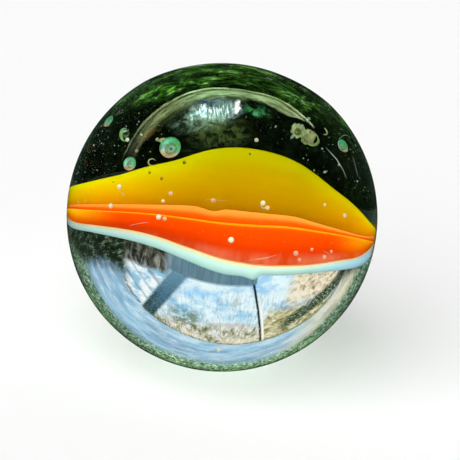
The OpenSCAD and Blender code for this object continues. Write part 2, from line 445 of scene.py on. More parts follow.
def yellow_glass():
    material, n, q, a, streaks = vane_material("yellow_glass")
    up = n.linear(n.math("SUBTRACT", streaks, 0.5), 0.05, q)
    # across the face: lemon at the thin top edge, deepening to ochre at the seam; the ochre is partly the
    # glass's own colour and partly painted shade of the valley between the yellow and the lip
    front = n.ramp(n.product(up, 2),
        (0, 0.32, 0.105, 0), (0.12, 0.38, 0.137, 0), (0.35, 0.45, 0.195, 0),
        (0.62, 0.475, 0.262, 0), (0.86, 0.455, 0.355, 0), (1, 0.41, 0.36, 0))
    # painted light: stronger and brighter colour towards both ends of the ribbon
    painted_end_light = n.ramp(a, (0.05, 2.1, 2.5, 1), (0.2, 1.84, 1.72, 1), (0.38, 1.22, 1.22, 1),
        (0.5, 1, 1, 1), (0.72, 0.97, 0.92, 1), (0.85, 1.38, 1.14, 1),
        (0.94, 2.1, 1.75, 1))
    back = n.mix(streaks, (0.46, 0.31, 0), (0.55, 0.38, 0))
    colour = n.mix(n.step(q, 0.49, 0.53), n.filtered(front, painted_end_light), back)
    vane_surface(n, n.mix(n.step(streaks, 0.3, 0.7, 0, 0.1), colour, (0.8, 0.62, 0)))
    return material


def orange_glass():
    material, n, q, a, streaks = vane_material("orange_glass")
    up = n.linear(n.math("SUBTRACT", streaks, 0.5), 0.012, q)
    # across the face: a cream line at its foot; deep orange, a little lighter towards the ridge as painted
    # light; the amber line on the ridge, a painted highlight; dark red just above it, painted shade in the
    # groove; then the lip, lightening to peach at its top edge, partly thin glass over white and partly a
    # painted highlight
    colour = n.ramp(up,
        (0, 0.8, 0.62, 0.33), (0.01, 0.9, 0.5, 0.2), (0.022, 0.72, 0.045, 0.003),
        (0.2, 0.79, 0.034, 0), (0.44, 0.82, 0.055, 0), (0.476, 0.86, 0.085, 0),
        (0.486, 0.9, 0.27, 0.004), (0.512, 0.9, 0.27, 0.004), (0.528, 0.62, 0.03, 0),
        (0.58, 0.8, 0.075, 0), (0.64, 0.82, 0.11, 0.003), (0.7, 0.93, 0.25, 0.028),
        (0.9, 0.93, 0.32, 0.048), (1, 0.75, 0.09, 0))
    # at both ends the face below the amber line turns to amber itself
    ends = n.math("MAXIMUM", n.step(a, 0.27, 0.04), n.step(a, 0.8, 0.95, 0, 0.5))
    amber = n.ramp(q, (0.03, 1, 0.11, 0), (0.22, 1, 0.25, 0), (0.36, 1, 0.46, 0.002),
        (0.5, 1, 0.58, 0.01))
    colour = n.mix(n.product(ends, n.band(q, 0.03, 0.5, 0.015)), colour, amber)
    colour = n.mix(n.step(streaks, 0.3, 0.7, 0, 0.14), colour, (0.95, 0.1, 0.005))
    # a painted pinkish reflection in upright streaks, low on the face
    reflection_streaks = n.noise(n.scaled(n.place(), 900, 250, 250), 1, 3, 0.6, 0.4)
    low = n.product(n.step(q, 0.22, 0.06), n.band(a, 0.36, 0.9, 0.05))
    colour = n.mix(n.product(low, n.step(reflection_streaks, 0.4, 0.62, 0.05, 0.75)), colour, (0.93, 0.17, 0.085))
    # painted light: brighter towards both ends of the ribbon
    bright = n.ramp(a, (0.05, 1.3, 1.3, 1.3), (0.3, 1.08, 1.1, 1), (0.45, 1, 1, 1),
        (0.75, 1.03, 1.1, 1), (0.9, 1.2, 1.3, 1.2))
    vane_surface(n, n.filtered(colour, bright))
    return material


def white_glass():
    material, n, q, a, streaks = vane_material("white_glass")
    # from the rounded foot up to the cream line under the orange; darker at the foot as painted shade of
    # its underside
    front = n.ramp(n.product(q, 4),
        (0, 0.34, 0.55, 0.55), (0.2, 0.48, 0.7, 0.69), (0.7, 0.54, 0.73, 0.71),
        (0.84, 0.7, 0.72, 0.5), (1, 0.92, 0.7, 0.4))
    front = n.mix(n.step(a, 0.72, 0.92, 0, 0.8), front, n.filtered(front, (0.8, 0.98, 1.35)))
    back = n.mix(streaks, (0.45, 0.62, 0.59), (0.6, 0.71, 0.68))
    tips = n.math("MAXIMUM", n.step(a, 0.28, 0.1, 0, 0.75), n.step(a, 0.8, 0.95, 0, 0.75))
    back = n.mix(tips, back, (0.1, 0.15, 0.1))
    vane_surface(n, n.mix(n.step(q, 0.28, 0.42), front, back))
    return material


def clear_glass():
    """Clear glass that takes red, and some of the blue, out of light on its way through."""
    material, n = new_material("clear_glass")
    glass = n.add("ShaderNodeBsdfPrincipled", {"Base Color": (1, 1, 1), "Roughness": 0,
        "IOR": 1.52, "Transmission Weight": 1})
    green = n.add("ShaderNodeVolumeAbsorption", {"Color": (0.38, 0.87, 0.53), "Density": 20})
    n.output("Material", glass, Volume=green)
    return material


# the tones of bubbles, folds and flaws: pink, cream, white, ice blue, teal, green, olive, brown, dark
TONES = [(0, 1, 0.48, 0.3), (0.12, 1, 0.76, 0.4), (0.25, 0.98, 0.97, 0.88),
    (0.38, 0.45, 0.92, 1), (0.5, 0.08, 0.82, 0.48), (0.62, 0.12, 0.66, 0.14),
    (0.75, 0.62, 0.64, 0.3), (0.88, 0.42, 0.2, 0.04), (1, 0.16, 0.15, 0.01)]


def frosted(name, alpha, rough, colour=None, grit=0.3):
    """See-through and soft, in one colour or in its vertices' tones, with dark grit."""
    material, n = new_material(name)
    full = colour or n.ramp(n.attribute("tone"), *TONES)
    dirt = n.step(n.noise(n.place(), 2500), 0.35, 0.65, grit, 0)
    sockets = {"Base Color": n.mix(dirt, full, (0.05, 0.06, 0.03)), "Roughness": rough, "Alpha": alpha,
        "Specular IOR Level": 0.3}
    n.output("Material", n.add("ShaderNodeBsdfPrincipled", sockets))
    return material


# ---- the ball and its voids
# the ball is slightly flat on its upper far side: where the flat starts, as a cosine, and how wide and
# deep it is
FLAT_SIDE = Vector((0.02, 0.342, 0.939)).normalized()
FLAT_START, FLAT_SPAN, FLAT_DEPTH = 0.78, 0.22, 0.12
# the skin's slow and fine waves, and how far it lies inside the ball's radius
SLOW_SKIN, FINE_SKIN, SKIN_IN = 0.01, 0.0015, 0.012
# how much longer than round a bubble can be, and how uneven its wall is, as shares
STRETCH, UNEVEN = 0.14, 0.03
# towards the camera
FRONT = Vector((0, -0.94, 0.342))


def ball_points(subdivisions):
    bm = bmesh.new()
    bmesh.ops.create_icosphere(bm, subdivisions=subdivisions, radius=1)
    points = [v.co.copy() for v in bm.verts]
    faces = [[v.index for v in f.verts] for f in bm.faces]
    bm.free()
    return points, faces


def bubble(i, share):
    """A bubble's middle, and a share of its diameter."""
    x, y, z, diameter = BUBBLES[i]
    return Vector((x, y, z)) * BALL_R, share * diameter


def add_shell(bm, points, faces):
    """Adds a closed void with its faces turned into it, as a wall of the glass around it."""
    verts = [bm.verts.new(p * MM) for p in points]
    for face in faces:
        bm.faces.new([verts[i] for i in reversed(face)])


def glass_piece(material):
    """The ball, with every bubble as a void."""
    rng = random.Random(7)
    bm = bmesh.new()
    points, faces = ball_points(7)
    verts = []
    for p in points:
        wave = noise.noise(p * 1.7 + Vector((5, 1, 2))) * SLOW_SKIN + noise.noise(p * 6) * FINE_SKIN
        flat = max(0, (p.dot(FLAT_SIDE) - FLAT_START) / FLAT_SPAN)
        height = BALL_R - SKIN_IN + wave - FLAT_DEPTH * flat * flat * (3 - 2 * flat)
        verts.append(bm.verts.new(p * height * MM))
    for face in faces:
        bm.faces.new([verts[i] for i in face])
    fine, fine_faces = ball_points(4)
    for i in range(len(BUBBLES)):
        middle, size = bubble(i, SMALL if i in BRIGHT or i in FAINT else 1)
        long = Vector((rng.uniform(-1, 1), rng.uniform(-1, 1), rng.uniform(-0.3, 0.3))).normalized()
        stretch = 1 + STRETCH * rng.random()
        shell = []
        for p in fine:
            q = p + long * p.dot(long) * (stretch - 1)
            shell.append(middle + q * size / 2 / stretch * (1 + UNEVEN * noise.noise(p * 1.5 + middle)))
        add_shell(bm, shell, fine_faces)
    mesh = bpy.data.meshes.new("marble_glass")
    bm.to_mesh(mesh)
    bm.free()
    mesh.polygons.foreach_set("use_smooth", [True] * len(mesh.polygons))
    mesh.materials.append(material)
    return new_object("marble_glass", mesh)


# ---- wear on the ball's skin
# how far wear stands off the skin, and half the width at the ends of a hairline, in mm; then how many
WEAR_H, HAIR_END = 0.002, 0.001
CHIPS, SCRATCHES = 6500, 70
# hairlines that the photograph shows: directions in thousandths, half-width in mm
HAIRLINES = [
    ([(600, -420, 680), (638, -417, 647), (681, -414, 604), (725, -421, 545), (756, -432, 492)], 0.034),
    ([(777, -233, 585), (810, -277, 517), (828, -313, 465)], 0.017),
    ([(231, -969, 89), (298, -949, 102), (364, -924, 120)], 0.012),
    ([(-571, -805, 164), (-508, -838, 200), (-440, -868, 228)], 0.009),
]


def onto_ball(point):
    return point.normalized() * (BALL_R + WEAR_H)


def frame_at(at, turn):
    """Two unit tangents of the ball at a direction, turned by an angle."""
    side = at.cross(Vector((0, 0, 1)) if abs(at.z) < 0.9 else Vector((1, 0, 0))).normalized()
    up = at.cross(side)
    return side * math.cos(turn) + up * math.sin(turn), up * math.cos(turn) - side * math.sin(turn)


def random_direction(rng):
    z, a = rng.uniform(-1, 1), rng.uniform(0, 2 * math.pi)
    r = math.sqrt(1 - z * z)
    return Vector((r * math.cos(a), r * math.sin(a), z))


class Wear:
    """Collects chips and hairline scratches."""

    def __init__(self):
        self.points, self.faces = [], []

    def chip(self, rng, at):
        u, v = frame_at(at, rng.uniform(0, math.pi))
        size = 0.006 + (0.012 if at.dot(FRONT) > 0.8 else 0.026) * rng.random() ** 3
        long = rng.uniform(1, 2.2)
        first = len(self.points)
        count = rng.randint(4, 6)
        for k in range(count):
            a = 2 * math.pi * k / count
            d = size * rng.uniform(0.6, 1)
            self.points.append(onto_ball(at * BALL_R + u * d * long * math.cos(a) + v * d * math.sin(a)))
        self.faces.append([first + k for k in range(count)])

    def hairline(self, line, wide):
        """A strip along the line's (middle, side) pairs, pointed at both ends."""
        first = len(self.points)
        for k, (middle, side) in enumerate(line):
            thick = wide * (1 - (2 * k / (len(line) - 1) - 1) ** 2) + HAIR_END
            self.points += [onto_ball(middle + side * thick), onto_ball(middle - side * thick)]
        self.faces += [[first + 2 * k, first + 2 * k + 1, first + 2 * k + 3, first + 2 * k + 2]
            for k in range(len(line) - 1)]

    def scratch(self, rng, at, number):
        u, v = frame_at(at, rng.uniform(0, math.pi))
        length, bend, wide = rng.uniform(0.2, 0.9), rng.uniform(-0.5, 0.5), rng.uniform(0.004, 0.008)
        line = []
        for k in range(13):
            s = (k / 12 - 0.5) * length
            aside = bend * s * s + 0.01 * noise.noise(Vector((s * 6, number, 0)))
            line.append((at * BALL_R + u * s + v * aside, v))
        self.hairline(line, wide)

    def drawn(self, path, wide, steps=24):
        """A hairline through the path's directions, with a slight tremble."""
        ends = [in_ball(p) for p in path]
        dense = []
        for k in range(steps + 1):
            t = (len(ends) - 1) * k / steps
            i = min(int(t), len(ends) - 2)
            dense.append(ends[i].lerp(ends[i + 1], t - i))
        line = []
        for k, p in enumerate(dense):
            run = (dense[min(k + 1, steps)] - dense[max(k - 1, 0)]).normalized()
            line.append((p + 0.02 * noise.noise_vector(p * 3), run.cross(p).normalized()))
        self.hairline(line, wide)


def wear_piece(material):
    """Fine chips, thickest at both sides; scratches away from the camera; and the drawn hairlines."""
    rng = random.Random(23)
    wear = Wear()
    for _ in range(CHIPS):
        at = random_direction(rng)
        if noise.noise(at * 2.3 + Vector((9, 4, 1))) + 0.6 * abs(at.x) >= rng.uniform(-0.1, 0.85):
            wear.chip(rng, at)
    for number in range(SCRATCHES):
        at = random_direction(rng)
        if at.dot(FRONT) <= 0.3:
            wear.scratch(rng, at, number)
    for path, wide in HAIRLINES:
        wear.drawn(path, wide)
    return mesh_object("surface_wear", wear.points, wear.faces, material, smooth=False)


# ---- bubbles' skins and small flaws in the glass
# small folds and trails: points in thousandths of the ball's radius, half-thickness in mm, tone
TRAILS = [
    ([(284, 288, 295), (278, 292, 306), (265, 293, 309), (252, 291, 302), (248, 287, 291),
      (254, 283, 280), (267, 282, 277), (279, 284, 284), (284, 288, 295)], 0.036, 0.76),
    ([(273, 292, 277), (289, 288, 264), (306, 284, 254), (323, 281, 245)], 0.075, 0.73),
    ([(314, 298, 264), (303, 295, 254), (301, 290, 242), (310, 287, 233), (325, 286, 231),
      (339, 288, 237), (346, 293, 248), (343, 297, 260), (340, 299, 272)], 0.042, 0.72),
    ([(382, 280, 330), (392, 276, 319), (393, 271, 307), (376, 269, 301)], 0.03, 0.75),
    ([(-439, 206, 272), (-452, 206, 273), (-461, 203, 266), (-464, 198, 252), (-459, 192, 236),
      (-449, 188, 225), (-437, 186, 220), (-426, 188, 224)], 0.036, 0.68),
    ([(-338, -247, 490), (-352, -249, 485), (-375, -253, 473)], 0.08, 0.74),
    ([(-327, -18, 242), (-342, -16, 248), (-357, -18, 242), (-360, -23, 229), (-347, -27, 219),
      (-330, -26, 221)], 0.03, 0.8),
    ([(654, 77, 504), (639, 80, 511), (609, 77, 503), (580, 70, 486), (561, 63, 467)], 0.018, 0.66),
    ([(-101, -306, 183), (-72, -304, 188), (-36, -303, 190), (-13, -303, 191), (36, -300, 198)],
      0.005, 0.08),
    ([(-43, -301, 198), (-36, -308, 177)], 0.018, 0.09),
    ([(190, -328, 210), (188, -332, 200), (195, -335, 191), (208, -336, 187), (222, -335, 190),
      (232, -332, 198)], 0.03, 0.14),
    ([(152, -565, -32), (215, -559, -16), (268, -555, -4), (310, -549, 12)], 0.009, 0.08),
    ([(578, -514, 49), (639, -523, 24), (686, -537, -15)], 0.013, 0.08),
]
# trails up to this tone are faint smears
SMEAR_TONE = 0.1
# how many fine seeds are drawn, of which those above the vane stay; and the eye's dark core, painted shade,
# as a share
SEEDS, EYE_CORE = 170, 0.3
# single flaws: place in thousandths, radius in mm, tone
FLAWS = [
    ((-442, 145, 252), 0.075, 0.25), ((-215, -244, 352), 0.08, 0.98), ((-395, -294, 304), 0.065, 0.96),
    ((-326, -303, 279), 0.07, 0.95), ((-611, -334, 253), 0.04, 0.95), ((107, -218, 425), 0.06, 0.95),
    ((-536, -355, 195), 0.06, 0.07), ((-904, -368, 127), 0.05, 0.2),
]


class Cloud:
    """Collects small closed forms with a tone at each vertex."""

    def __init__(self):
        self.points, self.faces, self.tones = [], [], []

    def ball(self, middle, radius, tone, detail=3, lumpy=0):
        unit, unit_faces = ball_points(detail)
        first = len(self.points)
        for p in unit:
            self.points.append(middle + p * radius * (1 + lumpy * abs(noise.noise(p * 1.4 + middle))))
            self.tones.append(tone(p) if callable(tone) else tone)
        self.faces += [[first + i for i in f] for f in unit_faces]

    def tube(self, path, radius, tone, sides=8):
        line = smooth_line([in_ball(p) for p in path], 6 * len(path))
        first, last = len(self.points), len(line) - 1
        for k, p in enumerate(line):
            run = (line[min(k + 1, last)] - line[max(k - 1, 0)]).normalized()
            u = run.cross(Vector((0.3, 0.2, 1))).normalized()
            v = run.cross(u)
            taper = min(1, 0.25 + 3 * min(k, last - k) / len(line))
            r = radius * (1 + 0.5 * noise.noise(p * 4)) * taper
            for j in range(sides):
                a = 2 * math.pi * j / sides
                self.points.append(p + (u * math.cos(a) + v * math.sin(a)) * r)
                self.tones.append(tone)
        for k in range(last):
            for j in range(sides):
                a, b = first + k * sides + j, first + k * sides + (j + 1) % sides
                self.faces.append([a, b, b + sides, a + sides])
        self.faces.append([first + j for j in range(sides - 1, -1, -1)])
        self.faces.append([first + last * sides + j for j in range(sides)])

    def piece(self, name, material):
        return mesh_object(name, self.points, self.faces, material, {"tone": self.tones})


def rings(p):
    """Painted reflections, seen from the front: a dark middle, then ice blue, green and brown rings, a wide
    band from pink to ice blue, and a thin green rim that is cream below."""
    facing, rise = p.dot(FRONT), p.dot(FLAT_SIDE)
    out = math.sqrt(max(0, 1 - facing * facing)) if facing > 0 else 1
    wide_band = 0.12 if rise < -0.5 else 0.44 + 0.12 * p.x + 0.14 * rise
    for limit, tone in ((0.17, 0.97), (0.34, 0.4), (0.5, 0.6), (0.58, 0.94), (0.9, wide_band)):
        if out < limit:
            return tone
    return 0.05 if rise < -0.3 else 0.6


def eye(p):
    """A dark middle of painted shade in an olive ring, seen from the front."""
    return 1 if p.dot(FRONT) > 0.8 else 0.72


def mottled(p):
    """Olive, blotched with brown."""
    return 0.74 + 0.26 * max(0, noise.noise(p * 2.6 + Vector((2, 5, 3))))


def skins_piece(material):
    """The skins of the larger bubbles: rings of painted reflection, an eye with painted shade in its
    middle, and blotches; with the folds and trails beside them.
    """
    cloud = Cloud()
    for i in RINGED:
        cloud.ball(*bubble(i, SKIN), rings, 5)
    cloud.ball(*bubble(EYED, SKIN), eye, 5, 0.9)
    cloud.ball(*bubble(BLOTCHED, SKIN), mottled, 5, 0.9)
    # a dark core in the eye's void: painted shade over the void's highlight
    cloud.ball(*bubble(EYED, EYE_CORE), 1)
    for path, radius, tone in TRAILS:
        if tone > SMEAR_TONE:
            cloud.tube(path, radius, tone)
    for place, radius, tone in FLAWS:
        cloud.ball(in_ball(place), radius, tone, 2)
    return cloud.piece("bubble_skins", material)


def mist_piece(material):
    """The faint bubbles and pinkish smears before the vane, and the fine seeds above it."""
    cloud = Cloud()
    for i, tone in FAINT.items():
        cloud.ball(*bubble(i, SKIN * SMALL), tone)
    for path, radius, tone in TRAILS:
        if tone <= SMEAR_TONE:
            cloud.tube(path, radius, tone)
    rng = random.Random(41)
    for _ in range(SEEDS):
        side = 1 if rng.random() < 0.3 else -1
        place = Vector((side * rng.uniform(0.25, 0.8), rng.uniform(-0.12, 0.45), rng.uniform(0.08, 0.62)))
        if place.length < 0.93 and place.y > 0.25 - 0.9 * place.z:
            radius = 0.012 + 0.03 * rng.random() ** 3
            cloud.ball(place * BALL_R, radius, rng.choice((0.25, 0.38, 0.72)), 1)
    return cloud.piece("bubble_mist", material)


def glints_piece(material):
    """Painted highlights on the small bubbles that lie before the vane, and painted pinkish reflections of
    them.
    """
    cloud = Cloud()
    for i, tone in BRIGHT.items():
        cloud.ball(*bubble(i, SKIN * SMALL), tone, 4)
    return cloud.piece("bubble_glints", material)


pieces = [
    (glass_piece(clear_glass()), "glass_ball", "clear_glass"),
    (loft("vane_yellow", "yellow", yellow_glass()), "yellow_vane", "yellow_glass"),
    (loft("vane_orange", "orange", orange_glass()), "orange_vane", "orange_glass"),
    (loft("vane_white", "white", white_glass()), "white_vane", "white_glass"),
]
for piece, node, slot in pieces:
    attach(piece, "root")
    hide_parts(node)
for piece in (wear_piece(frosted("wear", 0.5, 0.5, (0.62, 0.8, 0.74))),
        skins_piece(frosted("bubble_skin", 0.62, 0.4, grit=0.5)),
        mist_piece(frosted("bubble_mist", 0.45, 0.4)),
        glints_piece(frosted("bubble_glint", 0.82, 0.4, grit=0))):
    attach(piece, "root")


# ---- stage: floor and suns
# in mm: the flat floor's rings, the curve that rises from the last one, and the gap below the ball
FLOOR_RINGS, CURVE_R, CURVE_STEPS, FLOOR_GAP = (60, 300, 850), 300, 16, 0.001
FLOOR_TURNS, GROUND_TURNS = 128, 96
GROUND_R, GROUND_RISE = 1150, 0.02
# how far off the suns stand, in metres, which changes nothing but where they show in the file
SUN_AWAY = 0.6


def ring(radius, z, count):
    return [(radius * math.cos(2 * math.pi * i / count), radius * math.sin(2 * math.pi * i / count), z)
            for i in range(count)]


def floor():
    """One sweep: a flat floor, then a smooth curve up into a low wall."""
    profile = [(r, -BALL_R) for r in FLOOR_RINGS]
    for i in range(1, CURVE_STEPS + 1):
        t = math.pi / 2 * i / CURVE_STEPS
        profile.append((FLOOR_RINGS[-1] + CURVE_R * math.sin(t), -BALL_R + CURVE_R * (1 - math.cos(t))))
    points = [p for r, z in profile for p in ring(r, z - FLOOR_GAP, FLOOR_TURNS)]
    points.append((0, 0, -BALL_R - FLOOR_GAP))
    beside = [(i, (i + 1) % FLOOR_TURNS) for i in range(FLOOR_TURNS)]
    faces = [(len(points) - 1, i, j) for i, j in beside]
    for k in range(len(profile) - 1):
        inner, outer = k * FLOOR_TURNS, (k + 1) * FLOOR_TURNS
        faces += [(inner + i, outer + i, outer + j, inner + j) for i, j in beside]
    material, n = new_material("floor")
    n.output("Material", n.add("ShaderNodeBsdfDiffuse", {"Color": grey(0.885)}))
    obj = mesh_object("floor", points, faces, material)
    obj.visible_glossy = obj.visible_transmission = False


def sun(name, energy, az, el, angle):
    """Lights the stage from az and el degrees; the glass neither mirrors nor passes it."""
    data = bpy.data.lights.new(name, "SUN")
    data.energy = energy
    data.angle = math.radians(angle)
    obj = new_object(name, data)
    toward = direction(az, el)
    obj.location = toward * SUN_AWAY
    obj.rotation_euler = toward.to_track_quat("Z", "Y").to_euler()
    obj.visible_glossy = obj.visible_transmission = False


# ---- what stands behind the ball
# the curve of the window's corners: 2 is an ellipse, less is more pointed
CORNERS = 1.75
# how far the left pane's posts lean from upright, per degree up
POST_LEAN = -0.62


def tint(r, g, b):
    """A colour as it should look through the ball, 0-255, as linear light that makes up for the glass's
    own tint."""
    return tuple(gain * ((c / 255 + 0.055) / 1.055) ** 2.4 for gain, c in ((1.29, r), (1.13, g), (1.24, b)))


class Surroundings:
    """By direction in degrees: a window onto a garden, a pale frame round it, and dark leaves at both
    sides. Each layer is painted over those before it."""

    def __init__(self, n, az, el):
        self.n, self.az, self.el = n, az, el
        self.plane, self.polar = n.vector(az, el), n.vector(*self.round_sight())
        self.wobble = n.linear(self.grain(0.45, 0.45, 3, seed=4.1), 3, -1.5)
        self.wavy_az, self.wavy_el = n.plus(az, self.wobble), n.plus(el, self.wobble)
        self.lines = self.grain(0.9, 0.1, 4, 0.65, 0.6, 1.7)
        self.mottle = self.grain(0.45, 0.55, 5, 0.68, 0.5, 8.3)
        self.fine = self.grain(1.5, 1.7, 4, 0.65, 0.5, 2.9)
        self.view = self.sky()
        self.garden()
        self.stems()
        self.right_side()
        self.left_pane()
        self.posts()
        self.sill()
        self.window_frame()
        self.dark_leaves()

    def round_sight(self):
        """The direction as degrees round the line of sight, and out from it."""
        n = self.n
        az, el = n.math("RADIANS", self.az), n.math("RADIANS", self.el)
        level = n.math("COSINE", el)
        x, y = n.product(n.math("SINE", az), level), n.product(n.math("COSINE", az), level)
        z = n.math("SINE", el)
        ahead = n.linear(y, math.cos(VIEW_DIP), n.product(z, -math.sin(VIEW_DIP)))
        above = n.linear(y, math.sin(VIEW_DIP), n.product(z, math.cos(VIEW_DIP)))
        return n.degrees("ARCTAN2", x, above), n.degrees("ARCCOSINE", ahead)

    def grain(self, sx, sy, detail=4, rough=0.6, distort=0.4, seed=0, polar=False):
        """Noise over the directions, or over the degrees round the line of sight."""
        n = self.n
        stretched = n.scaled(self.polar if polar else self.plane, sx, sy, 1)
        return n.noise(n.vector_math("ADD", stretched, (seed, 2 * seed, seed)), 1, detail, rough, distort)

    def leaning(self, slope):
        """Place across a line that leans."""
        return self.n.linear(self.el, slope, self.az)

    def waved(self, value, amount):
        return self.n.linear(self.wobble, amount, value)

    def shades(self, value, *stops):
        """A ramp whose stops are a place and a colour for tint."""
        return self.n.ramp(value, *((at, *tint(*rgb)) for at, *rgb in stops))

    def blend(self, mask, *colours):
        """From one colour to another, each a ramp or mix, or red, green and blue for tint."""
        return self.n.mix(mask, *(tint(*c) if isinstance(c, tuple) else c for c in colours))

    def paint(self, colour, *masks):
        self.view = self.blend(self.n.product(*masks), self.view, colour)

    def sky(self):
        """Blue, with white cloud."""
        n = self.n
        blue = self.shades(n.linear(self.el, 1 / 30, 0.25),
            (0.05, 158, 206, 242), (0.3, 160, 212, 246), (0.45, 142, 198, 234),
            (0.62, 186, 228, 244), (0.9, 212, 212, 192))
        return self.blend(n.step(self.grain(0.13, 0.18, 5, 0.66, 0.3), 0.36, 0.58), blue, (230, 250, 255))

    def garden(self):
        """Far off and low in the window, with pale walls, a pinkish strip, and a bush beside the post."""
        n = self.n
        garden = self.shades(self.grain(0.6, 0.22, 4, 0.7, 0.3, 5.5),
            (0.36, 92, 104, 76), (0.44, 158, 164, 132), (0.52, 212, 206, 186),
            (0.6, 244, 244, 238), (0.7, 188, 208, 214))
        walls = n.product(n.step(self.el, 15.5, 20), n.step(self.mottle, 0.4, 0.56), 0.75)
        self.paint(self.blend(walls, garden, (246, 240, 212)), n.step(self.wavy_el, 10.5, 15))
        self.paint((206, 176, 172), n.band(self.waved(self.el, 0.3), 11.2, 12.8, 0.5),
            n.band(self.az, -11, 1, 1.5), 0.5)
        self.paint((96, 116, 74), n.band(self.az, 3.5, 12, 2), n.band(self.wavy_el, 7.5, 14.5, 2),
            n.step(self.mottle, 0.42, 0.54), 0.8)

    def stems(self):
        """Branches and stems, from thick to thin."""
        n = self.n
        for sx, sy, level, wide, seed, amount in ((0.22, 0.05, 0.5, 0.01, 0, 0.3),
                (0.42, 0.07, 0.47, 0.012, 7.3, 0.26),
                (1.1, 0.08, 0.52, 0.02, 3.7, 0.24)):
            stem = n.band(self.grain(sx, sy, 2, 0.55, 0.25, seed), level - wide, level + wide, wide)
            self.paint((70, 84, 78), stem, n.step(self.el, -4, 4), amount)

    def right_side(self):
        """Sunlit leaves with a pale wall above them, and dark leaves along the window's right side."""
        n, wavy_az = self.n, self.wavy_az
        leaves = self.shades(self.mottle, (0.36, 96, 104, 66), (0.46, 178, 170, 118),
            (0.55, 212, 206, 162), (0.64, 236, 240, 232))
        self.paint(leaves, n.step(wavy_az, -14, -17), n.step(self.el, 4, 9))
        wall = self.shades(self.mottle, (0.36, 150, 128, 96), (0.46, 218, 204, 170), (0.56, 244, 236, 214))
        self.paint(wall, n.step(wavy_az, -18.5, -23), n.step(self.wavy_el, 7.5, 2.5))
        across = n.plus(n.linear(self.az, -0.61, self.el), n.linear(self.wobble, 1.2, -27.6))
        dark = self.shades(self.fine, (0.4, 6, 18, 10), (0.49, 34, 58, 36), (0.57, 100, 122, 88),
            (0.66, 214, 222, 200))
        self.paint(dark, n.band(across, -3.4, 3, 1.2), n.step(wavy_az, -19.5, -25),
            n.step(self.mottle, 0.34, 0.44))

    def left_pane(self):
        """Bright, and crossed by thin slanting bars."""
        n = self.n
        glare = n.step(self.grain(0.2, 0.26, 4, 0.6, 0.3, 14.1), 0.4, 0.58)
        pane = self.blend(glare, (146, 198, 226), (240, 250, 252))
        slant = self.waved(self.leaning(0.9), 0.6)
        for at, wide, shade in ((15.6, 0.5, (84, 106, 122)), (21, 0.35, (110, 134, 150)),
                (26, 0.4, (96, 112, 104))):
            pane = self.blend(n.product(n.band(slant, at - wide, at + wide, 0.8), 0.75), pane, shade)
        self.paint(pane, n.step(self.leaning(POST_LEAN), 14.2, 14.9))

    def posts(self):
        """The heavy dark post between the panes, and the thin dark one with a lit edge lower down."""
        n, el, heavy, thin = self.n, self.el, self.leaning(POST_LEAN), self.leaning(0.3)
        post = self.shades(n.linear(el, 1 / 20, 0.25), (0.05, 96, 140, 164), (0.45, 58, 98, 120),
            (0.85, 28, 56, 56))
        post = self.blend(n.product(n.band(heavy, 12.6, 14.6, 0.8), n.step(el, 0, 9)), post, (14, 30, 34))
        post = self.blend(n.product(n.step(self.fine, 0.4, 0.62), 0.35), post, (122, 160, 178))
        self.paint(post, n.band(self.waved(heavy, 0.25), 9.2, 14.5, 0.7))
        self.paint((250, 250, 240), n.band(thin, -12.1, -11.3, 0.25), n.step(el, 2, 6))
        self.paint((22, 30, 36), n.band(self.waved(thin, 0.12), -11.2, -10.5, 0.22),
            n.step(self.lines, 0.36, 0.46))

    def sill(self):
        """Slate, above the panes as the ball shows them, with brown shadows at its left end."""
        n, az, el = self.n, self.az, self.el
        slate = self.blend(n.step(self.lines, 0.36, 0.66), (86, 118, 136), (104, 138, 156))
        low = n.linear(n.math("POWER", n.plus(az, 4), 2), 0.008, el)
        self.paint(slate, n.step(low, -2.5, -2.9), n.step(az, -10.9, -10.5), n.step(az, 14, 11))
        self.paint((60, 84, 92), n.band(low, -2.7, -2.3, 0.15), n.band(az, -10, 8, 1), 0.5)
        brown = self.shades(self.grain(0.55, 0.22, 4, 0.65, 0.8, 1.9),
            (0.38, 16, 22, 20), (0.48, 52, 56, 52), (0.58, 104, 104, 98),
            (0.7, 176, 176, 168))
        self.paint(brown, n.step(self.waved(el, 0.8), -2.4, -4), n.step(az, 10.5, 14.5))

    def outward(self):
        """How far out a direction lies: 1 at the window's edge."""
        n = self.n

        def share(value, middle, half):
            away = n.math("ABSOLUTE", n.math("SUBTRACT", value, middle))
            return n.math("POWER", n.product(away, 1 / half), CORNERS)

        both = n.plus(share(self.az, -8, 37), share(n.math("MAXIMUM", self.el, 0), 0, 23.5))
        return n.math("POWER", both, 1 / CORNERS)

    def window_frame(self):
        """The pale frame, with a dark line where the window ends."""
        n, out = self.n, self.outward()
        edge = self.waved(out, 0.02)
        self.paint((96, 104, 84), n.band(edge, 0.955, 0.995, 0.018), n.step(self.mottle, 0.36, 0.54), 0.8)
        limit = n.plus(n.step(self.az, -28, -56, 1.9, 1.3), n.step(self.az, 34, 52, 0, -0.2))
        beyond = n.math("SUBTRACT", self.waved(out, 0.06), limit)
        pale = self.blend(n.step(beyond, -0.22, 0.18), self.smeared(), self.leafy_rim())
        self.paint(pale, n.step(edge, 0.98, 1.01))

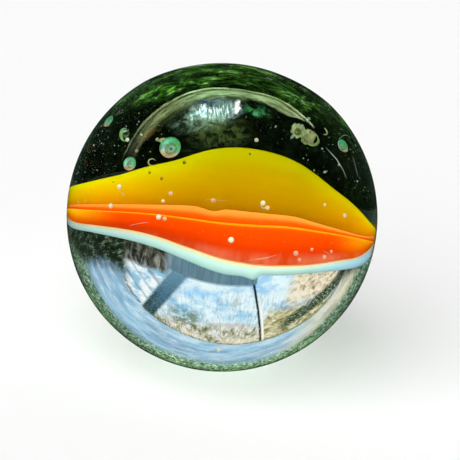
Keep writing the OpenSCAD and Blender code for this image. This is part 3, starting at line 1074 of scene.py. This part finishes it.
    def smeared(self):
        """Blue at the left and below, cream at the right, smeared with white and grime."""
        n, az = self.n, self.az
        broad = self.grain(0.05, 0.16, 3, 0.6, 0.3, 6.6, polar=True)
        blue = self.blend(n.step(broad, 0.4, 0.62), (134, 176, 206), (168, 214, 238))
        cream = self.blend(n.step(broad, 0.4, 0.6), (190, 196, 170), (238, 232, 200))
        streaky = self.grain(0.08, 0.3, 5, 0.62, 0.4, 3.3, polar=True)
        white = n.product(n.step(streaky, 0.44, 0.68), n.step(az, -62, -30, 0.3, 1), 0.62)
        pale = self.blend(white, self.blend(n.step(az, -24, -44), blue, cream), (226, 246, 252))
        grime = n.product(n.step(self.grain(0.25, 0.6, 4, 0.7, 0.3, 12.7, polar=True), 0.54, 0.72), 0.45)
        return self.blend(grime, pale, (112, 140, 150))

    def leafy_rim(self):
        """Green and speckled, brighter below and to the right."""
        n = self.n
        leaves = self.shades(self.grain(0.75, 0.26, 5, 0.78, 0.2, 2.2, polar=True),
            (0.36, 20, 46, 14), (0.45, 76, 112, 76), (0.54, 132, 172, 142),
            (0.61, 178, 206, 178), (0.69, 250, 252, 248))
        lit = n.product(n.step(self.az, 45, 15), n.step(self.el, 30, 40), 0.8)
        return n.mix(lit, leaves, n.filtered(leaves, (2.3, 2.2, 2)))

    def dark_leaves(self):
        """At both sides, level with the ball and below."""
        n = self.n
        night = self.shades(self.grain(0.5, 0.26, 5, 0.78, 0.3, 9.1, polar=True),
            (0.42, 4, 10, 4), (0.52, 26, 40, 24), (0.58, 62, 80, 58),
            (0.66, 120, 142, 122), (0.76, 235, 240, 234))
        aside = n.math("MAXIMUM", n.step(self.az, 23.5, 28.5), n.step(self.az, -38, -44))
        level = n.plus(n.linear(self.wobble, 1.5, self.el), n.step(self.az, 33, 55, 0, -8))
        self.paint(night, aside, n.step(level, 5.5, -1.5))


# ---- the dark ground, which only the glass sees
# the light that reaches the vane from the ground
GROUND_LIGHT = 1.05
# how a place on the ground becomes a direction, in metres: it is seen from EYE_H above the ground and
# EYE_R out from the axis, and sideways directions spread by both BENDs
EYE_R, EYE_H = 0.0088, 0.00432
BEND, CLOSE_BEND = 0.00696, 0.000189


def ground_leaves(n, where, moss):
    """Moss and leaves, flecked and in lighter and darker patches."""
    leafy = n.ramp(moss, (0.42, 0.001, 0.004, 0.0006), (0.5, 0.008, 0.028, 0.002),
        (0.57, 0.04, 0.13, 0.012), (0.66, 0.26, 0.52, 0.15))
    flecks = n.ramp(n.noise(where, 4200, 3, 0.7),
        (0.34, 0.25), (0.5, 0.9), (0.62, 2.6, 2.4, 2.4))
    patches = n.ramp(n.noise(where, 260, 2, 0.5, 0.3),
        (0.36, 0.5), (0.52, 1), (0.64, 2.6, 2.9, 2.2))
    return n.filtered(n.filtered(leafy, flecks), patches)


def ground_colour(n):
    """The dark mottled ground of the photograph, with the window mirrored far out on it."""
    where = n.place()
    x, y = n.add("ShaderNodeSeparateXYZ", {0: where}).outputs[:2]
    far = n.math("SQRT", n.plus(n.math("POWER", x, 2), n.math("POWER", y, 2)))
    az = n.degrees("ARCTAN2", x, y)
    el = n.product(n.degrees("ARCTAN2", EYE_H, n.math("SUBTRACT", far, EYE_R)), -1)
    turn = n.math("ABSOLUTE", az)
    moss = n.noise(where, 950, 5, 0.74, 0.5)
    dim = n.ramp(moss, (0.46, 0.0003, 0.0007, 0.0002), (0.58, 0.0015, 0.0028, 0.0008),
        (0.68, 0.014, 0.02, 0.006), (0.8, 0.1, 0.11, 0.06))
    middle = n.product(n.step(far, 0.0122, 0.0108), n.step(turn, 27, 13))
    leafy = n.math("MAXIMUM", middle, n.step(far, 0.0104, 0.009, 0, 0.8))
    dim = n.mix(leafy, dim, ground_leaves(n, where, moss))
    # the ball bends directions away from its middle, more so for what lies close in
    near = n.plus(n.math("DIVIDE", BEND, far), n.math("DIVIDE", CLOSE_BEND, n.product(far, far)))
    bend = n.product(n.linear(turn, -0.0155, 1.42), near)
    az = n.product(az, n.plus(bend, 1))
    near_side = n.product(n.step(n.math("ABSOLUTE", az), 100, 78), n.step(el, -16, -11))
    path = n.add("ShaderNodeLightPath").outputs
    shown = n.product(near_side, path["Is Transmission Ray"])
    seen = n.mix(shown, dim, Surroundings(n, az, el).view)
    return n.mix(n.past(path["Diffuse Depth"], 0.5), seen, grey(GROUND_LIGHT))


def dark_ground():
    material, n = new_material("dark_ground")
    n.output("Material", n.add("ShaderNodeEmission", {"Color": ground_colour(n), "Strength": 1}))
    height = -BALL_R + GROUND_RISE
    points = [(0, 0, height)] + ring(GROUND_R, height, GROUND_TURNS)
    faces = [(0, i + 1, (i + 1) % GROUND_TURNS + 1) for i in range(GROUND_TURNS)]
    obj = mesh_object("dark_ground", points, faces, material, smooth=False)
    obj.visible_camera = obj.visible_diffuse = obj.visible_shadow = False


# ---- world
# towards the key sun
KEY = (-0.335, -0.579, 0.743)
# the pale rail overhead starts where a direction's dot with RAIL_AXIS passes RAIL_START
RAIL_AXIS, RAIL_START = (0.079, -0.72, 0.689), 0.032


def dark_room(n, ray):
    return n.ramp(n.noise(ray, 7, 5, 0.65, 0.4),
        (0.38, 0.001, 0.002, 0.001), (0.5, 0.006, 0.011, 0.004),
        (0.62, 0.025, 0.05, 0.015), (0.75, 0.08, 0.15, 0.05))


def seen_through(n, ray, room):
    """What stands behind the ball, leaves overhead, and a soft pale screen on the near side."""
    x, y, z = n.add("ShaderNodeSeparateXYZ", {0: ray}).outputs
    el, az = n.degrees("ARCSINE", z), n.degrees("ARCTAN2", x, y)
    turn = n.math("ABSOLUTE", az)
    over = n.math("MAXIMUM", n.step(el, 62, 80), n.step(turn, 78, 96))
    view = n.mix(over, Surroundings(n, az, el).view, room)
    near = n.product(n.step(turn, 95, 140), n.product(n.step(el, 14, 26), n.step(el, 75, 55)))
    return n.mix(near, view, (0.14, 0.17, 0.14))


class Mirrored:
    """What the ball's surface mirrors: a pale rail overhead that shows as an arc, haze below it, and a
    small bright window inside it. Each light is added to those before it."""

    def __init__(self, n, ray, room):
        self.n, self.ray, self.view = n, ray, room
        self.x, self.y = n.add("ShaderNodeSeparateXYZ", {0: ray}).outputs[:2]
        # the same place with a ruffled edge
        ruffle = n.noise(ray, 13, 4, 0.7, output="Color")
        shift = n.add("ShaderNodeSeparateColor", {0: ruffle}).outputs
        self.px = n.plus(self.x, n.linear(shift[0], 0.14, -0.07))
        self.py = n.plus(self.y, n.linear(shift[1], 0.24, -0.12))
        self.rail()
        self.haze()
        self.window()
        self.emerald()

    def light(self, colour, *masks):
        self.view = self.n.mix(self.n.product(*masks), self.view, colour, "ADD")

    def cover(self, colour, *masks):
        self.view = self.n.mix(self.n.product(*masks), self.view, colour)

    def spot(self, cx, cy, rx, ry, core=0.3):
        """1 in the middle of an ellipse of directions, 0 at its rim."""
        n = self.n
        dx, dy = (n.math("POWER", n.math("ABSOLUTE", n.linear(place, 1 / half, -middle / half)), 2)
            for place, middle, half in ((self.px, cx, rx), (self.py, cy, ry)))
        return n.step(n.math("SQRT", n.plus(dx, dy)), 1, core)

    def bar(self, x0, y0, x1, y1, half):
        """1 along a straight streak of directions, soft at its rim."""
        n, px, py, dx, dy = self.n, self.px, self.py, x1 - x0, y1 - y0
        long = math.hypot(dx, dy)
        u = n.linear(px, dx / long ** 2, n.linear(py, dy / long ** 2, -(x0 * dx + y0 * dy) / long ** 2))
        v = n.linear(px, dy / long, n.linear(py, -dx / long, (y0 * dx - x0 * dy) / long))
        return n.product(n.band(u, 0, 1, 0.12), n.step(n.math("ABSOLUTE", v), 1.5 * half, 0.4 * half))

    def blotches(self, scale, lo, hi):
        return self.n.step(self.n.noise(self.ray, scale, 5, 0.7, 0.6), 0.42, 0.58, lo, hi)

    def rail(self):
        """The pale rail: how bright it is across, where it is cut, and its colour from left to right."""
        n, ray, x = self.n, self.ray, self.x
        waver = n.linear(n.noise(ray, 9, 3, 0.6, 0.3), 0.05, -0.025)
        past_start = n.math("SUBTRACT", n.vector_math("DOT_PRODUCT", ray, RAIL_AXIS, "Value"), RAIL_START)
        over = n.plus(past_start, waver)
        grain = n.noise(n.vector(n.product(x, 7), n.product(over, 24)), 1, 4, 0.7, 0.3)
        across = n.ramp(n.linear(over, 1 / 0.3, 0.05 / 0.3),
            (0.14, 0), (0.17, 2.4), (0.225, 2.3), (0.275, 0.28), (0.36, 0.28), (0.44, 0.85), (0.6, 0.85),
            (0.72, 1.1), (0.82, 0.55), (1, 0.25))
        cut = n.step(n.math("SUBTRACT", over, n.step(x, 0.42, 0.6, 0.215, 0.03)), 0.022, -0.022)
        open_left = n.product(n.step(x, 0.14, 0.06), n.step(x, -0.72, -0.52))
        cut = n.math("MAXIMUM", cut, n.product(open_left, n.step(over, 0.34, 0.22)))
        ends = n.product(n.step(x, -0.94, -0.76), n.step(x, 0.615, 0.575))
        pale = n.ramp(n.linear(x, 0.5, 0.5),
            (0.08, 1.3, 1.7, 0.9), (0.22, 2.8, 3.8, 1.4), (0.36, 3.9, 6.4, 2.8),
            (0.55, 3.9, 6.2, 2.7), (0.7, 3.5, 5, 2.1), (0.79, 4.6, 5.8, 3))
        darker, lighter = n.filtered(pale, (0.42, 0.45, 0.32)), n.filtered(pale, (1.75, 1.65, 1.85))
        self.light(n.mix(n.step(grain, 0.38, 0.62), darker, lighter), across, cut, ends)

    def haze(self):
        """Soft haze below the window, and dim olive further down."""
        self.light((3.2, 5.6, 3.4), self.spot(-0.28, 0.12, 0.36, 0.24, 0), self.blotches(11, 0.2, 1.7))
        self.light((0.95, 1.55, 0.36), self.spot(-0.12, -0.09, 0.42, 0.3, 0.1), self.blotches(12, 0.1, 1.6))
        self.light((1.5, 1, 0.25), self.spot(-0.74, 0.21, 0.1, 0.1, 0.2))

    def window(self):
        """Grey-blue, in upright streaks, with bright bars and a white one at its right."""
        n = self.n
        streak = n.noise(n.scaled(self.ray, 48, 7, 0), 1, 4, 0.7, 0.2)
        shine = n.ramp(streak, (0.4, 1, 2.6, 2), (0.5, 4.6, 7.8, 6.8),
            (0.58, 12, 16.5, 16.5), (0.65, 24, 27, 29))
        shine = n.mix(n.step(self.y, 0.3, 0.4, 0, 0.75), shine, (1.2, 2.8, 2.4))
        self.light(shine, self.spot(-0.15, 0.27, 0.28, 0.23, 0.5))
        self.cover((0.25, 0.7, 1.3), self.bar(-0.304, 0.421, -0.162, 0.33, 0.022), 0.85)
        self.cover((0.3, 0.8, 1), self.bar(-0.2, 0.43, -0.05, 0.4, 0.014), 0.8)
        self.light((6, 9.5, 10.5), self.bar(-0.4, 0.154, -0.3, 0.246, 0.022))
        self.light((12, 16, 19), self.bar(-0.262, 0.17, -0.268, 0.32, 0.012))
        self.light((17, 17.5, 15), self.bar(0.03, 0.225, 0.036, 0.41, 0.022))
        self.light((4.5, 2, 3), self.spot(-0.164, 0.257, 0.05, 0.05))

    def emerald(self):
        """A patch of emerald at the window's right."""
        n = self.n
        jade = n.noise(n.scaled(self.ray, 14, 9, 0), 1, 4, 0.65, 0.6)
        self.light((0.7, 3.8, 1.1), self.spot(0.21, 0.33, 0.15, 0.12), n.step(jade, 0.36, 0.6))
        self.light((0.5, 3, 1.3), self.bar(0.188, 0.254, 0.292, 0.326, 0.016))


def vane_light(n, ray):
    """Light that reaches the vane through the glass: plain, and stronger from the key sun's side."""
    key = n.vector_math("DOT_PRODUCT", ray, KEY, "Value")
    return n.ramp(n.linear(key, 0.5, 0.5), (0.3, 1.15), (0.75, 2), (1, 3.3), interpolation="EASE")


def world():
    """Plain pale light for the floor; what shows through the glass; and what its surface mirrors."""
    studio = bpy.data.worlds.new("studio")
    bpy.context.scene.world = studio
    studio.use_nodes = True
    n = Nodes(studio.node_tree)
    ray = n.add("ShaderNodeTexCoord").outputs["Generated"]
    room = dark_room(n, ray)
    path = n.add("ShaderNodeLightPath").outputs
    through = n.mix(n.past(path["Diffuse Depth"], 0.5), seen_through(n, ray, room), vane_light(n, ray))
    # a ray through the glass counts as glossy too, so the view through it comes last
    colour = n.mix(path["Is Glossy Ray"], grey(0.24), Mirrored(n, ray, room).view)
    colour = n.mix(path["Is Transmission Ray"], colour, through)
    n.output("World", n.add("ShaderNodeBackground", {"Color": colour, "Strength": 1}))


floor()
dark_ground()
sun("key", 2.5, -150, 48, 60)
sun("top", 0.7, 0, 80, 80)
world()

bpy.context.scene.view_settings.view_transform = "Standard"
